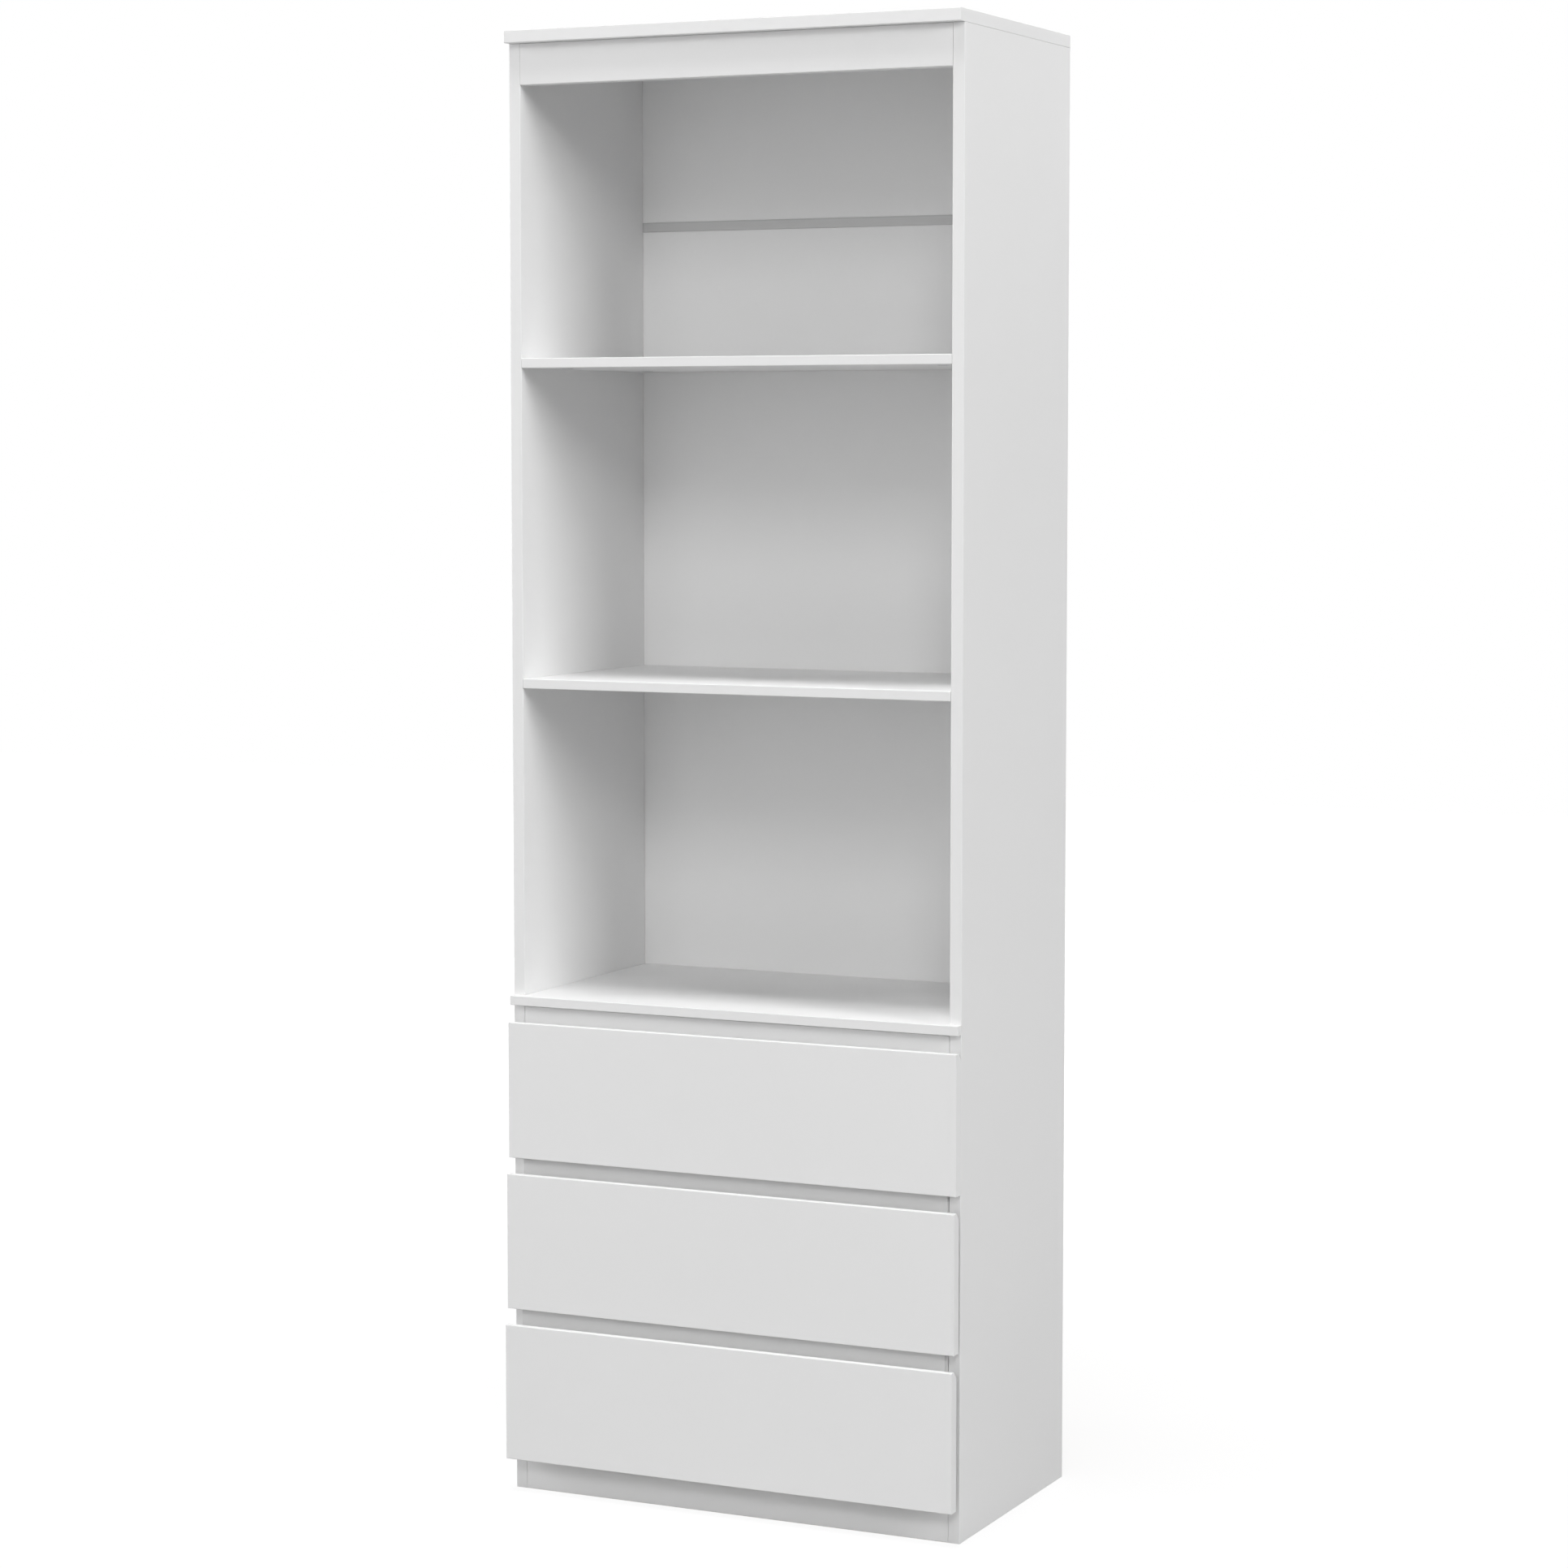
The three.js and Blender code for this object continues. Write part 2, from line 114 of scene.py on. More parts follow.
class FinishSettings(bpy.types.PropertyGroup):
    """Colours and gloss of the bookcase's materials."""

    melamine_colour: bpy.props.FloatVectorProperty(
        name="Melamine",
        description="White face of the coated boards and of their edge bands",
        subtype="COLOR",
        size=3,
        min=0,
        max=1,
        default=(0.8, 0.8, 0.8),
    )
    melamine_roughness: bpy.props.FloatProperty(
        name="Melamine roughness",
        description="How matt the coated boards are",
        subtype="FACTOR",
        min=0,
        max=1,
        default=0.46,
    )
    # Painted shade: greys the ends of the boards behind the drawers' fronts, standing in for the
    # shadow in the slots beside them
    end_painted_shade: bpy.props.FloatVectorProperty(
        name="End band",
        description="Tint of the band on the ends of the boards behind the drawers' fronts",
        subtype="COLOR",
        size=3,
        min=0,
        max=1,
        default=(0.625, 0.625, 0.625),
    )
    # Painted shade: greys the faces of the two lower drawers' inner boards, standing in for the shadow
    # under the fronts above them
    inner_face_painted_shade: bpy.props.FloatVectorProperty(
        name="Inner face",
        description="Tint of the face that the two lower drawers' fronts are screwed to",
        subtype="COLOR",
        size=3,
        min=0,
        max=1,
        default=(0.79, 0.79, 0.79),
    )
    chipboard_colour: bpy.props.FloatVectorProperty(
        name="Chipboard",
        description="Bare core where an edge that nobody sees has no band",
        subtype="COLOR",
        size=3,
        min=0,
        max=1,
        default=(0.56, 0.4, 0.228),
    )
    hardboard_colour: bpy.props.FloatVectorProperty(
        name="Hardboard face",
        description="White lacquered face of the back panels and drawer bottoms",
        subtype="COLOR",
        size=3,
        min=0,
        max=1,
        default=(0.865, 0.865, 0.865),
    )
    bare_hardboard_colour: bpy.props.FloatVectorProperty(
        name="Bare hardboard",
        description="Brown rear face of the same sheets",
        subtype="COLOR",
        size=3,
        min=0,
        max=1,
        default=(0.4, 0.255, 0.143),
    )
    strip_colour: bpy.props.FloatVectorProperty(
        name="Joint strip",
        description="Plastic strip between the two back panels",
        subtype="COLOR",
        size=3,
        min=0,
        max=1,
        default=(0.58, 0.58, 0.58),
    )
    zinc_colour: bpy.props.FloatVectorProperty(
        name="Zinc plate",
        description="Bright zinc plating of the slides and screws",
        subtype="COLOR",
        size=3,
        min=0,
        max=1,
        default=(0.66, 0.68, 0.7),
    )
    cage_colour: bpy.props.FloatVectorProperty(
        name="Cage steel",
        description="Oiled steel of the ball cages",
        subtype="COLOR",
        size=3,
        min=0,
        max=1,
        default=(0.45, 0.46, 0.48),
    )


class SizeSettings(bpy.types.PropertyGroup):
    """Sizes of the eased edges and of the small fastenings."""

    board_arris: bpy.props.FloatProperty(
        name="Board arris",
        description="Width by which the square edges of a board are eased",
        unit="LENGTH",
        precision=5,
        default=0.0003,
    )
    rail_arris: bpy.props.FloatProperty(
        name="Rail arris",
        description="Width by which the edges of the front rail, fitted flush, are eased",
        unit="LENGTH",
        precision=5,
        default=0.0001,
    )
    sheet_arris: bpy.props.FloatProperty(
        name="Sheet arris",
        description="Width by which the edges of thin sheets are eased",
        unit="LENGTH",
        precision=5,
        default=0.0003,
    )
    steel_arris: bpy.props.FloatProperty(
        name="Steel arris",
        description="Width by which the edges of the slides' sheet steel are eased",
        unit="LENGTH",
        precision=5,
        default=0.00015,
    )
    pan_head_radius: bpy.props.FloatProperty(
        name="Front screw head",
        description="Radius of the pan heads that hold a drawer's front from inside",
        unit="LENGTH",
        precision=4,
        default=0.0042,
    )
    slide_screw_radius: bpy.props.FloatProperty(
        name="Slide screw head",
        description="Radius of the flat heads that hold the slides",
        unit="LENGTH",
        precision=4,
        default=0.0034,
    )
    box_screw_radius: bpy.props.FloatProperty(
        name="Box screw head",
        description="Radius of the heads that hold the box sides to the box back",
        unit="LENGTH",
        precision=4,
        default=0.0035,
    )
    cam_radius: bpy.props.FloatProperty(
        name="Cam",
        description="Radius of the cam fittings under the shelves",
        unit="LENGTH",
        precision=4,
        default=0.0075,
    )
    pin_radius: bpy.props.FloatProperty(
        name="Pin head",
        description="Radius of the heads of the pins that hold the back and the drawer bottoms",
        unit="LENGTH",
        precision=4,
        default=0.0021,
    )
    pin_pitch: bpy.props.FloatProperty(
        name="Pin pitch",
        description="Rough distance from one pin to the next, in the back and the drawer bottoms",
        unit="LENGTH",
        default=0.11,
    )


class StudioSettings(bpy.types.PropertyGroup):
    """Camera and light."""

    camera_place: bpy.props.FloatVectorProperty(
        name="Camera place",
        description="Where the camera stands",
        subtype="TRANSLATION",
        size=3,
        default=(2.0422, -4.329, 1.3032),
    )
    camera_yaw: bpy.props.FloatProperty(
        name="Camera yaw",
        description="Turn of the camera to the left of straight ahead",
        subtype="ANGLE",
        default=math.radians(25.29),
    )
    camera_dip: bpy.props.FloatProperty(
        name="Camera dip",
        description="Angle at which the camera looks down",
        subtype="ANGLE",
        default=math.radians(4.584),
    )
    lens: bpy.props.FloatProperty(
        name="Lens",
        description="Focal length on a sensor 36 mm wide",
        subtype="DISTANCE_CAMERA",
        default=89.22,
    )
    lens_rise: bpy.props.FloatProperty(
        name="Lens rise",
        description="Vertical shift of the lens, as a share of the picture",
        default=-0.0195,
    )
    ambient: bpy.props.FloatProperty(
        name="Ambient light",
        description="Strength of the even light from all round",
        min=0,
        default=0.078,
    )
    right_power: bpy.props.FloatProperty(
        name="Right lamp",
        description="Power of the lamp on the right, which lights the insides of the shelves",
        unit="POWER",
        min=0,
        default=300,
    )
    left_power: bpy.props.FloatProperty(
        name="Left lamp",
        description="Power of the wide, low lamp on the left",
        unit="POWER",
        min=0,
        default=427,
    )
    high_power: bpy.props.FloatProperty(
        name="High lamp",
        description="Power of the lamp above, which lights the fronts of the shelves",
        unit="POWER",
        min=0,
        default=329,
    )
    front_power: bpy.props.FloatProperty(
        name="Front lamp",
        description="Power of the lamp in front, whose light falls down onto the back",
        unit="POWER",
        min=0,
        default=139,
    )
    low_power: bpy.props.FloatProperty(
        name="Low lamp",
        description="Power of the wide lamp in front that reaches under the shelves",
        unit="POWER",
        min=0,
        default=82,
    )
    rear_power: bpy.props.FloatProperty(
        name="Rear lamp",
        description="Power of the lamp behind, which lights only the back",
        unit="POWER",
        min=0,
        default=260,
    )


# Materials


class Wire:
    """An output of a material's node. Arithmetic on it adds Math nodes."""

    def __init__(self, graph, socket):
        self.graph = graph
        self.socket = socket

    def _math(self, operation, *values):
        return self.graph.node("ShaderNodeMath", {"operation": operation}, dict(enumerate(values)))

    def __add__(self, other):
        return self._math("ADD", self, other)

    def __radd__(self, other):
        return self._math("ADD", other, self)

    def __sub__(self, other):
        return self._math("SUBTRACT", self, other)

    def __rsub__(self, other):
        return self._math("SUBTRACT", other, self)

    def __mul__(self, other):
        return self._math("MULTIPLY", self, other)

    def __rmul__(self, other):
        return self._math("MULTIPLY", other, self)

    def greater(self, other):
        return self._math("GREATER_THAN", self, other)

    def maximum(self, other):
        return self._math("MAXIMUM", self, other)


class Graph:
    """The node tree of one material, or of the world."""

    def __init__(self, tree):
        self.tree = tree
        tree.nodes.clear()

    def node(self, kind, settings=None, inputs=None, output=0):
        """Adds a node: its settings come first, then the values or links of its inputs."""
        made = self.tree.nodes.new(kind)
        for name, value in (settings or {}).items():
            if name == "stops":
                self._set_stops(made.color_ramp, value)
            else:
                setattr(made, name, value)
        for name, value in (inputs or {}).items():
            if isinstance(value, Wire):
                self.tree.links.new(value.socket, made.inputs[name])
            else:
                made.inputs[name].default_value = value
        return Wire(self, made.outputs[output]) if made.outputs else None

    @staticmethod
    def _set_stops(ramp, stops):
        while len(ramp.elements) < len(stops):
            ramp.elements.new(1)
        for element, (position, level) in zip(ramp.elements, stops):
            element.position = position
            element.color = (level, level, level, 1)

    def place(self):
        """Points of the piece itself, in metres, which move with it."""
        return self.node("ShaderNodeTexCoord", output="Object")

    def stretched(self, place, scale):
        """The same points squeezed along an axis, so that what is drawn on them grows longer."""
        settings = {"operation": "MULTIPLY"}
        return self.node("ShaderNodeVectorMath", settings, {0: place, 1: scale})

    def noise(self, place, scale, detail=2, roughness=0.5):
        """Soft noise from 0 to 1, with scale waves in a metre."""
        inputs = {"Vector": place, "Scale": scale, "Detail": detail, "Roughness": roughness}
        return self.node("ShaderNodeTexNoise", {}, inputs, "Fac")

    def grains(self, place, scale):
        """A level from 0 to 1 for each grain, with scale grains in a metre."""
        inputs = {"Vector": place, "Scale": scale}
        colours = self.node("ShaderNodeTexVoronoi", {"feature": "F1"}, inputs, "Color")
        return self.node("ShaderNodeSeparateColor", {}, {"Color": colours}, "Red")

    def ramp(self, value, stops):
        """Turns a value into a smooth mask through stops of (position, level)."""
        return self.node("ShaderNodeValToRGB", {"stops": stops}, {"Fac": value}, "Color")

    def blend(self, mask, first, second, blend_type="MIX"):
        """The first colour where the mask is 0, and the second where it is 1."""
        settings = {"data_type": "RGBA", "blend_type": blend_type}
        return self.node("ShaderNodeMix", settings, {0: mask, 6: first, 7: second}, 2)

    def height(self, place):
        return self.node("ShaderNodeSeparateXYZ", {}, {"Vector": place}, "Z")

    def length(self, vector):
        return self.node("ShaderNodeVectorMath", {"operation": "LENGTH"}, {0: vector}, "Value")

    def facing(self, direction):
        """How squarely the surface faces a direction, from -1 to 1."""
        normal = self.node("ShaderNodeNewGeometry", output="True Normal")
        settings = {"operation": "DOT_PRODUCT"}
        return self.node("ShaderNodeVectorMath", settings, {0: normal, 1: direction}, "Value")

    def bump(self, height, strength, distance):
        inputs = {"Strength": strength, "Distance": distance, "Height": height}
        return self.node("ShaderNodeBump", {}, inputs)

    def surface(self, inputs):
        shader = self.node("ShaderNodeBsdfPrincipled", {}, inputs)
        self.node("ShaderNodeOutputMaterial", {}, {"Surface": shader})


def new_graph(name):
    material = bpy.data.materials.new(name)
    material.use_nodes = True
    return material, Graph(material.node_tree)


def opaque(colour):
    return (*colour, 1)


def grey(level):
    return (level, level, level, 1)


def shade(colour, factor):
    """The colour made lighter or darker, for a stain, a speck of the same stuff, or painted shade."""
    return opaque([min(1, channel * factor) for channel in colour])


def facing_any(graph, directions):
    """A mask of the faces that look in one of the directions."""
    squareness = graph.facing(directions[0])
    for direction in directions[1:]:
        squareness = squareness.maximum(graph.facing(direction))
    return squareness.greater(FACING_LIMIT)


def swing(noise, width):
    """A noise from 0 to 1 made into a small change, up or down, this wide in all."""
    return (noise - 0.5) * width


def seen_directly(graph):
    """1 for rays that show the surface itself, in the picture, in metal or through glass."""
    kinds = ("Is Camera Ray", "Is Glossy Ray", "Is Transmission Ray")
    camera, glossy, transmission = [graph.node("ShaderNodeLightPath", output=kind) for kind in kinds]
    return camera.maximum(glossy).maximum(transmission)


def chipboard(graph, place, colour):
    """Pressed chips: pale and dark flakes with dark pores between them. The pores' mask comes too."""
    flakes = graph.grains(place, scale=620)
    flake_colour = graph.blend(flakes, shade(colour, 0.62), shade(colour, 1.55))
    pores = graph.ramp(graph.noise(place, scale=900, detail=3), [(0.3, 0), (0.44, 1)])
    return graph.blend(pores, shade(colour, 0.3), flake_colour), pores


def melamine(name, bare=(), painted_shades=()):
    """White melamine on chipboard. Faces that look in a bare direction show the core,
    and each painted shade, a pair of directions and a grey, darkens its faces to stand in for shadow."""
    finishes = bpy.context.scene.bookcase_finishes
    colour = finishes.melamine_colour
    material, graph = new_graph(name)
    place = graph.place()
    cloud = graph.noise(place, scale=2.3, detail=3)
    paper = graph.blend(cloud, shade(colour, 0.985), shade(colour, 1.012))
    pearl = graph.noise(place, scale=420, detail=3, roughness=0.6)
    ripple = graph.noise(place, scale=70)
    upright = graph.stretched(place, (1, 1, 0.45))
    handling = graph.noise(upright, scale=9, detail=4, roughness=0.62)
    roughness = finishes.melamine_roughness + swing(handling, 0.12) + swing(pearl, 0.05)
    height = pearl * 0.4 + ripple * 0.6
    # Painted shade: faces looking in the given directions are multiplied by a grey in place of real
    # shadow
    for directions, painted_shade_colour in painted_shades:
        paper = graph.blend(facing_any(graph, directions), paper, opaque(painted_shade_colour), "MULTIPLY")
    if bare:
        core = facing_any(graph, bare)
        chips, pores = chipboard(graph, place, finishes.chipboard_colour)
        paper = graph.blend(core, paper, chips)
        roughness = roughness + core * 0.4
        height = height + core * pores * 2
    normal = graph.bump(height, strength=0.12, distance=0.0002)
    graph.surface({"Base Color": paper, "Roughness": roughness, "Normal": normal})
    return material


def hardboard(name, bare):
    """A thin fibre sheet, lacquered white, whose bare side shows the press's screen."""
    finishes = bpy.context.scene.bookcase_finishes
    material, graph = new_graph(name)
    place = graph.place()
    face_colour = finishes.hardboard_colour
    bare_colour = finishes.bare_hardboard_colour
    cloud = graph.noise(place, scale=2, detail=3)
    lacquer = graph.blend(cloud, shade(face_colour, 0.985), shade(face_colour, 1.012))
    peel = graph.noise(place, scale=260)
    core = facing_any(graph, bare)
    upright = graph.stretched(place, (1, 1, 0.35))
    fibres = graph.noise(upright, scale=700, detail=4, roughness=0.7)
    stains = graph.noise(place, scale=14, detail=5, roughness=0.68)
    blotches = graph.ramp(stains, [(0.36, 0), (0.64, 1)])
    level = graph.stretched(place, (0.45, 1, 1))
    bundles = graph.ramp(graph.noise(level, scale=210, detail=3), [(0.58, 0), (0.72, 1)])
    fibre_colour = graph.blend(fibres, shade(bare_colour, 0.72), shade(bare_colour, 1.3))
    fibre_colour = graph.blend(blotches * 0.5, fibre_colour, shade(bare_colour, 0.76))
    fibre_colour = graph.blend(bundles * 0.6, fibre_colour, shade(bare_colour, 0.5))
    screen = screen_pattern(graph, place)
    colour = graph.blend(core, lacquer, fibre_colour)
    roughness = 0.52 + swing(peel, 0.08) + core * 0.33
    height = (1 - core) * peel * 0.5 + core * (screen + fibres * 0.5)
    normal = graph.bump(height, strength=0.16, distance=0.0002)
    graph.surface({"Base Color": colour, "Roughness": roughness, "Normal": normal})
    return material


def screen_pattern(graph, place):
    """The woven screen that the press leaves on the bare side: crossed waves."""
    waves = [
        graph.node(
            "ShaderNodeTexWave",
            {"wave_type": "BANDS", "bands_direction": direction},
            {"Vector": place, "Scale": 95, "Distortion": 0.4, "Detail": 1},
            "Fac",
        )
        for direction in ("X", "Z")
    ]
    return waves[0] * waves[1]


def strip_plastic():
    """Extruded plastic with faint draw lines along the strip and painted shade lines at its edges."""
    colour = bpy.context.scene.bookcase_finishes.strip_colour
    low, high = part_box("back_joint_strip")
    material, graph = new_graph("strip_plastic")
    place = graph.place()
    drawn = graph.noise(graph.stretched(place, (0.02, 1, 1)), scale=900)
    tone = graph.blend(drawn, shade(colour, 0.97), shade(colour, 1.03))
    rise = (graph.height(place) - low.z) * (1 / (high.z - low.z))
    # Painted shade: the strip is darker near its top and bottom edges, where shade falls
    edges = graph.ramp(rise, [(0.02, 1), (0.11, 0), (0.86, 0), (0.95, 1)])
    tone = graph.blend(edges, tone, shade(colour, 0.9))
    roughness = 0.42 + swing(drawn, 0.15)
    normal = graph.bump(drawn, strength=0.15, distance=0.0001)
    graph.surface({"Base Color": tone, "Roughness": roughness, "Normal": normal})
    return material


def rolled_steel(name, colour, roughness):
    """Plated sheet steel: rolling lines along Y, faint crystals and a few dull spots."""
    material, graph = new_graph(name)
    place = graph.place()
    lines = graph.noise(graph.stretched(place, (1, 0.03, 1)), scale=1500)
    crystals = graph.grains(place, scale=260)
    dullness = graph.noise(place, scale=55, detail=4, roughness=0.6)
    spots = graph.ramp(dullness, [(0.5, 0), (0.72, 1)])
    tone = graph.blend(crystals, shade(colour, 0.965), shade(colour, 1.03))
    tone = graph.blend(spots, tone, shade(colour, 0.88))
    roughness = roughness + swing(lines, 0.16) + spots * 0.14
    normal = graph.bump(lines, strength=0.1, distance=0.00005)
    inputs = {"Base Color": tone, "Metallic": 1, "Roughness": roughness, "Normal": normal}
    graph.surface(inputs)
    return material


def dress(node, material):
    """Gives a node of the frame its finish."""
    for slot in frame["nodes"][node].material_slots:
        slot.material = material


def ease_edges(node, width, segments=2):
    """Joins the node's facets into whole faces and eases its sharp edges."""
    piece = frame["nodes"][node]
    weld = piece.modifiers.new("joined_facets", "WELD")
    weld.merge_threshold = WELD_DISTANCE
    faces = piece.modifiers.new("whole_faces", "DECIMATE")
    faces.decimate_type = "DISSOLVE"
    faces.angle_limit = FLAT_ANGLE
    arris = piece.modifiers.new("arris", "BEVEL")
    arris.width = width
    arris.segments = segments
    arris.limit_method = "ANGLE"
    arris.angle_limit = SHARP_ANGLE
    arris.use_clamp_overlap = False


# Fastenings


def turned(profile, steps):
    """A mesh turned about Z from a profile of (radius, height) that starts and ends on the axis."""
    mesh = bmesh.new()
    rings = []
    for radius, height in profile:
        if radius == 0:
            rings.append([mesh.verts.new((0, 0, height))])
            continue
        angles = [2 * math.pi * step / steps for step in range(steps)]
        ring = [(radius * math.cos(angle), radius * math.sin(angle), height) for angle in angles]
        rings.append([mesh.verts.new(point) for point in ring])
    for low, high in zip(rings, rings[1:]):
        for step in range(steps):
            corners = [low[step % len(low)], low[(step + 1) % len(low)]]
            corners += [high[(step + 1) % len(high)], high[step % len(high)]]
            mesh.faces.new(list(dict.fromkeys(corners)))
    return mesh


def recessed_head(radius, rise, arm, depth, steps=28):
    """A screw head with a domed top and a cross recess that narrows towards its floor."""
    mesh = bmesh.new()
    arm_width = arm * ARM_WIDTH_SHARE

    def ring(share, height):
        angles = [2 * math.pi * (step + 0.5) / steps for step in range(steps)]
        points = [(radius * share * math.cos(a), radius * share * math.sin(a)) for a in angles]
        return [mesh.verts.new((x, y, height * rise)) for x, y in points]

    def cross(scale, height):
        quarter = [(arm, -arm_width), (arm, arm_width), (arm_width, arm_width)]
        points = []
        for turn in range(4):
            angle = turn * math.pi / 2
            for x, y in quarter:
                turned_x = x * math.cos(angle) - y * math.sin(angle)
                turned_y = x * math.sin(angle) + y * math.cos(angle)
                points.append((turned_x * scale, turned_y * scale, height))
        return [mesh.verts.new(point) for point in points]

    def wall(low, high):
        count = len(low)
        for step in range(count):
            following = (step + 1) % count
            mesh.faces.new((low[step], low[following], high[following], high[step]))

    rings = [ring(share, height) for share, height in DOME_SHARES]
    for low, high in zip(rings, rings[1:]):
        wall(low, high)
    mesh.faces.new(list(reversed(rings[0])))
    mouth = cross(1, rise)
    floor = cross(RECESS_FLOOR_SHARE, rise - depth)
    wall(mouth, floor)
    mesh.faces.new(floor)
    loops = [rings[-1], mouth]
    edges = [mesh.edges.get((a, b)) for loop in loops for a, b in zip(loop, loop[1:] + loop[:1])]
    bmesh.ops.triangle_fill(mesh, use_beauty=True, edges=edges)
    bmesh.ops.recalc_face_normals(mesh, faces=mesh.faces)
    return mesh


def fastenings(name, model, places, body, material):
    """Copies a small model to every place, as one piece that moves with a body."""
    data = bpy.data.meshes.new(name)
    whole = bmesh.new()
    for place in places:
        copy = model.copy()
        copy.transform(place)
        part = bpy.data.meshes.new("part")
        copy.to_mesh(part)
        copy.free()
        whole.from_mesh(part)
        bpy.data.meshes.remove(part)
    whole.to_mesh(data)
    whole.free()
    model.free()
    data.shade_smooth()
    data.set_sharp_from_angle(angle=SMOOTH_ANGLE)
    data.materials.append(material)
    piece = bpy.data.objects.new(name, data)
    bpy.context.scene.collection.objects.link(piece)
    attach(piece, body)


def facing_place(point, direction, turn=0):
    """Stands a model on a point, its +Z along a direction, turned about it."""
    tilt = Vector(direction).to_track_quat("Z", "Y").to_matrix().to_4x4()
    return Matrix.Translation(point) @ tilt @ Matrix.Rotation(turn, 4, "Z")


def spread(start, end, count):
    """Evenly spaced numbers from start to end."""
    return [start + (end - start) * step / (count - 1) for step in range(count)]


# Finishes of the frame's nodes


class DressCabinet(bpy.types.Operator):
    """Eases and coats the boards of the cabinet"""

    bl_idname = "bookcase.dress_cabinet"
    bl_label = "Cabinet boards"

    def execute(self, context):
        sizes = context.scene.bookcase_sizes
        finishes = {
            SIDE_PANELS: melamine("melamine_sides", (REARWARD, DOWNWARD)),
            ("top_board",): melamine("melamine_top", (REARWARD,)),
            ("top_front_rail",): melamine("melamine_rail"),
            FLAT_BOARDS: melamine("melamine_shelves", (REARWARD,)),
            ("plinth_board",): melamine("melamine_plinth", (DOWNWARD,)),
        }
        for nodes, material in finishes.items():
            for node in nodes:
                dress(node, material)
                arris = sizes.rail_arris if node == "top_front_rail" else sizes.board_arris
                ease_edges(node, arris)
        return {"FINISHED"}


class DressBack(bpy.types.Operator):
    """Gives the back panels and their joint strip their finish"""

    bl_idname = "bookcase.dress_back"
    bl_label = "Back panels"

    def execute(self, context):
        arris = context.scene.bookcase_sizes.sheet_arris
        sheet = hardboard("hardboard_back", (REARWARD, UPWARD, DOWNWARD))
        for node in BACK_PANELS:
            dress(node, sheet)
            ease_edges(node, arris)
        dress("back_joint_strip", strip_plastic())
        ease_edges("back_joint_strip", arris)
        return {"FINISHED"}


class DressDrawers(bpy.types.Operator):
    """Eases and coats the fronts and boxes of the drawers"""

    bl_idname = "bookcase.dress_drawers"
    bl_label = "Drawers"

    def execute(self, context):
        sizes = context.scene.bookcase_sizes
        settings = context.scene.bookcase_finishes
        # The ends of the boards behind the fronts, and the faces of the two lower ones, are greyed as
        # painted shade for the shadow in the gaps
        ends = ((LEFTWARD, RIGHTWARD), settings.end_painted_shade)
        face = ((FORWARD,), settings.inner_face_painted_shade)
        front = melamine("melamine_fronts")
        upper_inner = melamine("melamine_upper_inner_front", (DOWNWARD,), (ends,))
        inner = melamine("melamine_inner_fronts", (DOWNWARD,), (ends, face))
        rear = melamine("melamine_box_backs", (DOWNWARD,))
        side = melamine("melamine_box_sides", (REARWARD, DOWNWARD))
        bottom = hardboard("hardboard_bottoms", (DOWNWARD, REARWARD))
        for name in DRAWERS:
            finishes = {
                f"{name}_drawer_front": front,
                f"{name}_drawer_inner_front": upper_inner if name == "upper" else inner,
                f"{name}_drawer_back": rear,
            }
            for hand in HANDS:
                finishes[f"{name}_drawer_side_{hand}"] = side
            for node, material in finishes.items():
                dress(node, material)
                ease_edges(node, sizes.board_arris)
            dress(f"{name}_drawer_bottom", bottom)
            ease_edges(f"{name}_drawer_bottom", sizes.sheet_arris)
        return {"FINISHED"}


class DressSlides(bpy.types.Operator):
    """Plates the slides and their ball cages"""

    bl_idname = "bookcase.dress_slides"
    bl_label = "Slides"

    zinc_roughness = 0.3
    cage_roughness = 0.26

    def execute(self, context):
        finishes = context.scene.bookcase_finishes
        arris = context.scene.bookcase_sizes.steel_arris
        zinc = rolled_steel("zinc_plate", finishes.zinc_colour, self.zinc_roughness)
        cage = rolled_steel("cage_steel", finishes.cage_colour, self.cage_roughness)
        for name in DRAWERS:
            for hand in HANDS:
                for member in ("cabinet_member", "drawer_member"):
                    node = f"{name}_slide_{member}_{hand}"
                    dress(node, zinc)
                    ease_edges(node, arris, 1)
                dress(f"{name}_slide_ball_cage_{hand}", cage)
        return {"FINISHED"}


# Screws, cam fittings, pins and balls


